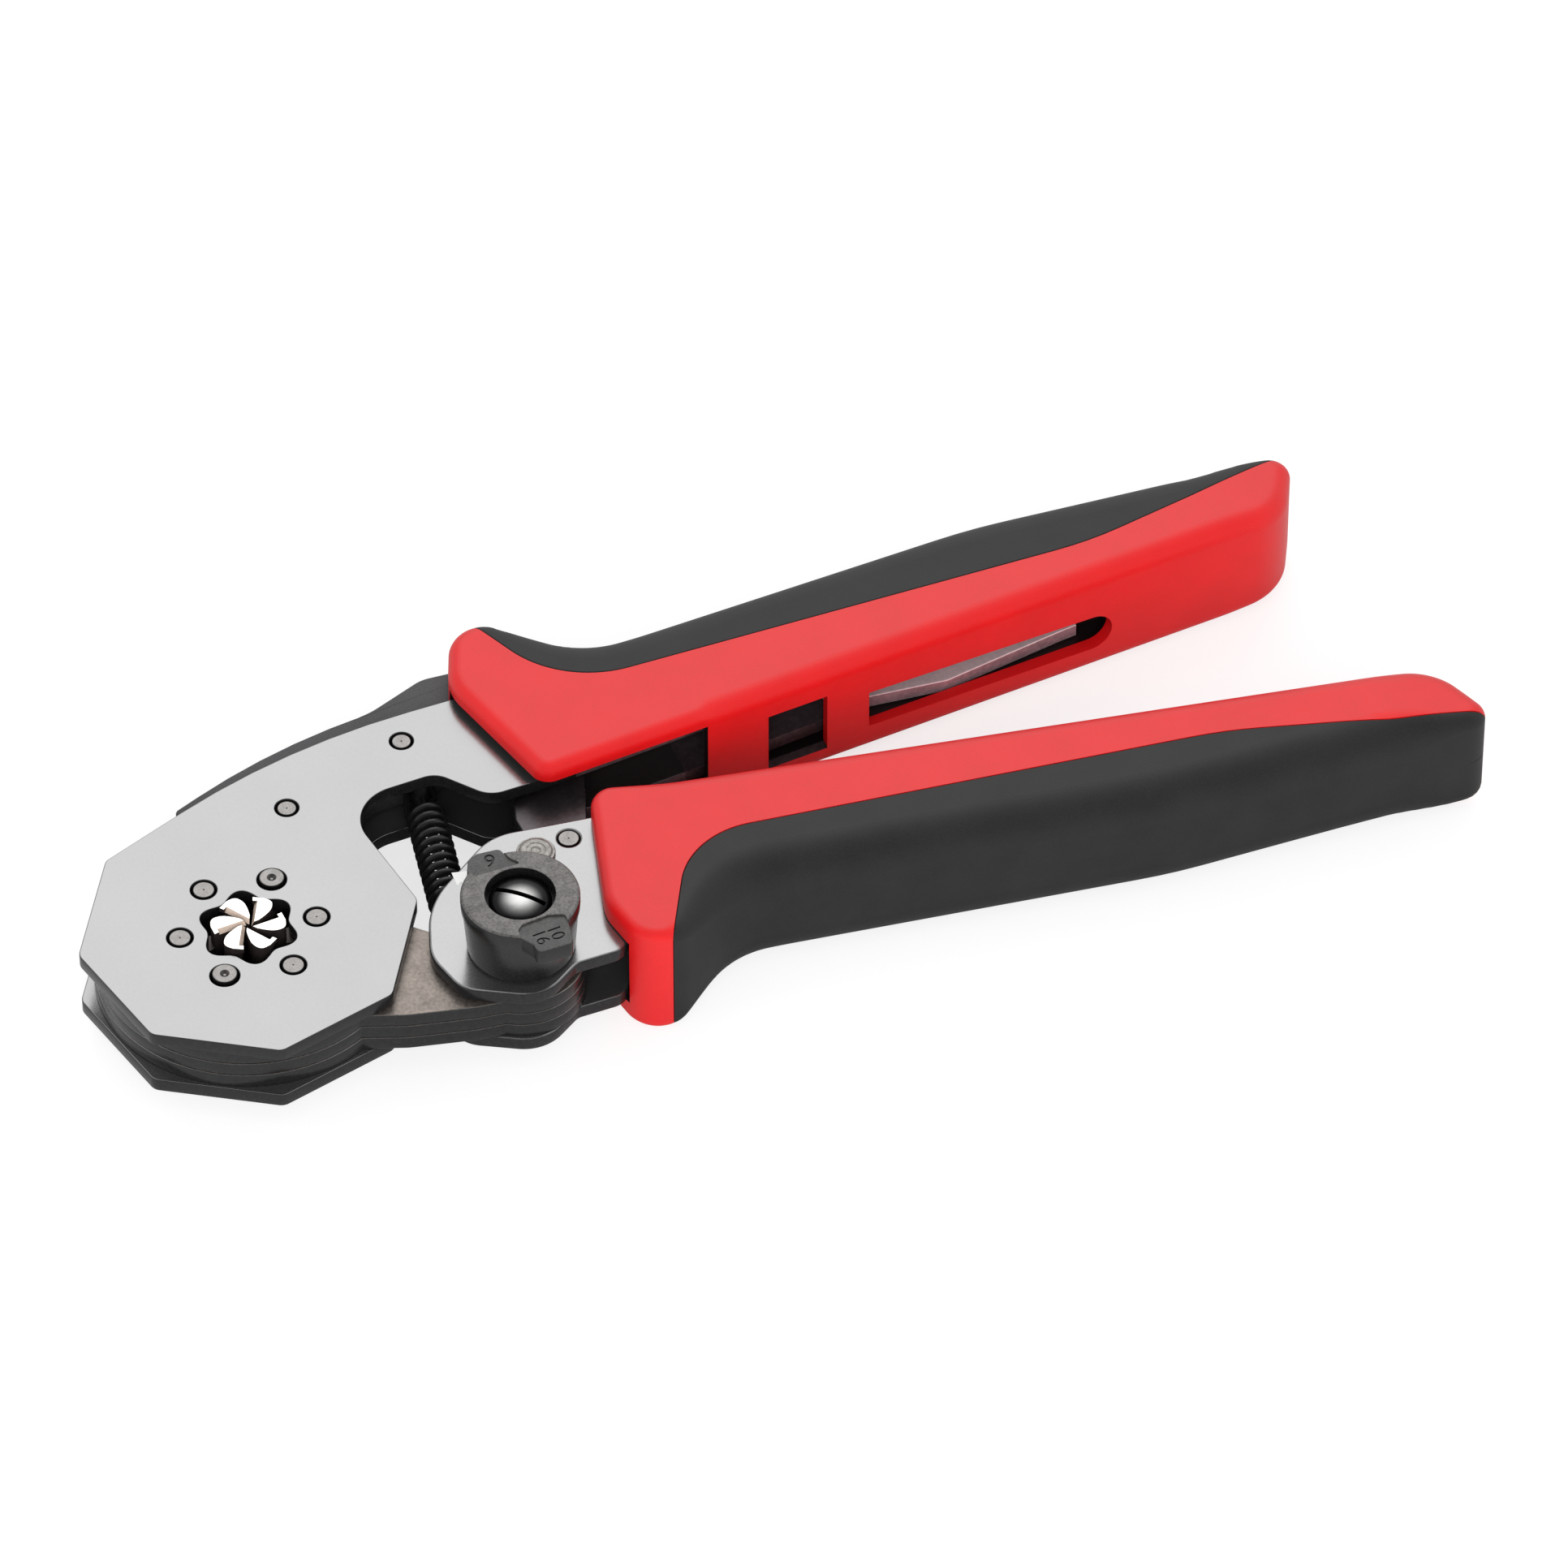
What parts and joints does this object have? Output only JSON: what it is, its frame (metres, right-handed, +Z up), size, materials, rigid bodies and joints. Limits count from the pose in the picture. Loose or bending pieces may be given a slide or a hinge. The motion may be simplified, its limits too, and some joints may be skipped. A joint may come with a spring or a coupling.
{
  "type": "crimping tool",
  "caption": "hand crimping tool with a ring of swinging jaws in an octagonal steel head, a toggle-driven moving handle, a setting knob, a return spring and red covers with black grips",
  "frame": {"origin": "middle of the bounding box's underside, where the tool lies on a table", "axes": "+X from the crimping head towards the handle ends, +Z up out of the head's front plate, +Y across the tool towards the fixed handle"},
  "size_m": [0.1872, 0.0648, 0.0239],
  "materials": {
    "plate_steel": "satin ground sheet",
    "black_steel": "blackened",
    "raw_steel": "bare, slightly brown",
    "bright_steel": "polished",
    "spring_steel": "black oiled wire",
    "die_cast": "dark die-cast",
    "red_plastic": "fine-grained moulding",
    "black_rubber": "soft fine-grained grip"
  },
  "bodies": {
    "frame": {"front_plate": "plate_steel", "rear_plate": "plate_steel", "spine": "black_steel", "jaw_pin_1": "plate_steel", "jaw_pin_2": "plate_steel", "jaw_pin_3": "plate_steel", "jaw_pin_4": "plate_steel", "jaw_pin_5": "plate_steel", "jaw_pin_6": "plate_steel", "spine_rivet_1": "plate_steel", "spine_rivet_2": "plate_steel", "thrust_pin": "plate_steel", "tail_rivet": "plate_steel", "spring_anchor": "bright_steel", "fixed_cover": "red_plastic", "fixed_grip": "black_rubber", "return_spring": "spring_steel"},
    "rotor": {"rotor_front": "raw_steel", "rotor_middle": "raw_steel", "rotor_rear": "raw_steel", "rotor_rivet_1": "raw_steel", "rotor_rivet_2": "raw_steel", "rotor_rivet_3": "raw_steel", "spring_post": "bright_steel"},
    "moving_handle": {"lever_front_plate": "plate_steel", "lever_rear_plate": "plate_steel", "link_pin": "plate_steel", "pawl_pin": "bright_steel", "lever_rivet": "plate_steel", "moving_cover": "red_plastic", "moving_grip": "black_rubber"},
    "selector": {"knob": "die_cast", "knob_screw": "bright_steel", "pivot_bolt": "plate_steel"},
    "thrust_link": {"thrust_link": "plate_steel"},
    "pawl": {"pawl": "raw_steel"},
    "jaw_1": {"jaw_1": "bright_steel"},
    "jaw_2": {"jaw_2": "bright_steel"},
    "jaw_3": {"jaw_3": "bright_steel"},
    "jaw_4": {"jaw_4": "bright_steel"},
    "jaw_5": {"jaw_5": "bright_steel"},
    "jaw_6": {"jaw_6": "bright_steel"}
  },
  "joints": [
    {"name": "rotor_turn", "type": "hinge", "parent": "frame", "child": "rotor", "pos_m": [-0.07152, -0.00593, 0.009], "axis": [0, 0, 1], "range_deg": [-0.42, 5.39], "deforming": ["return_spring"]},
    {"name": "handle_open", "type": "hinge", "parent": "rotor", "child": "moving_handle", "pos_m": [-0.03952, -0.02178, 0.009], "axis": [0, 0, -1], "range_deg": [-1.5, 20]},
    {"name": "link_swing", "type": "hinge", "parent": "moving_handle", "child": "thrust_link", "pos_m": [-0.02702, -0.00613, 0.009], "axis": [0, 0, 1], "range_deg": [-2.28, 30.1]},
    {"name": "jaw_1_swing", "type": "hinge", "parent": "frame", "child": "jaw_1", "pos_m": [-0.06578, 0.00105, 0.009], "axis": [0, 0, 1], "range_deg": [-1.33, 17.53]},
    {"name": "jaw_2_swing", "type": "hinge", "parent": "frame", "child": "jaw_2", "pos_m": [-0.0747, 0.00253, 0.009], "axis": [0, 0, 1], "range_deg": [-1.33, 17.53]},
    {"name": "jaw_3_swing", "type": "hinge", "parent": "frame", "child": "jaw_3", "pos_m": [-0.08044, -0.00446, 0.009], "axis": [0, 0, 1], "range_deg": [-1.33, 17.53]},
    {"name": "jaw_4_swing", "type": "hinge", "parent": "frame", "child": "jaw_4", "pos_m": [-0.07726, -0.01292, 0.009], "axis": [0, 0, 1], "range_deg": [-1.33, 17.53]},
    {"name": "jaw_5_swing", "type": "hinge", "parent": "frame", "child": "jaw_5", "pos_m": [-0.06834, -0.0144, 0.009], "axis": [0, 0, 1], "range_deg": [-1.33, 17.53]},
    {"name": "jaw_6_swing", "type": "hinge", "parent": "frame", "child": "jaw_6", "pos_m": [-0.0626, -0.00741, 0.009], "axis": [0, 0, 1], "range_deg": [-1.33, 17.53]},
    {"name": "knob_turn", "type": "hinge", "parent": "moving_handle", "child": "selector", "pos_m": [-0.03952, -0.02178, 0.009], "axis": [0, 0, 1], "range_deg": [0, 180]},
    {"name": "pawl_rock", "type": "hinge", "parent": "moving_handle", "child": "pawl", "pos_m": [-0.03202, -0.00643, 0.009], "axis": [0, 0, 1], "range_deg": [-20, 20], "stiffness_Nm_per_rad": 0.02}
  ],
  "couplings": [
    {"joint": "rotor_turn", "follows": "handle_open", "ratio": 0.2686},
    {"joint": "link_swing", "follows": "handle_open", "ratio": 1.5038},
    {"joint": "jaw_1_swing", "follows": "handle_open", "ratio": 0.8756},
    {"joint": "jaw_2_swing", "follows": "handle_open", "ratio": 0.8756},
    {"joint": "jaw_3_swing", "follows": "handle_open", "ratio": 0.8756},
    {"joint": "jaw_4_swing", "follows": "handle_open", "ratio": 0.8756},
    {"joint": "jaw_5_swing", "follows": "handle_open", "ratio": 0.8756},
    {"joint": "jaw_6_swing", "follows": "handle_open", "ratio": 0.8756}
  ]
}
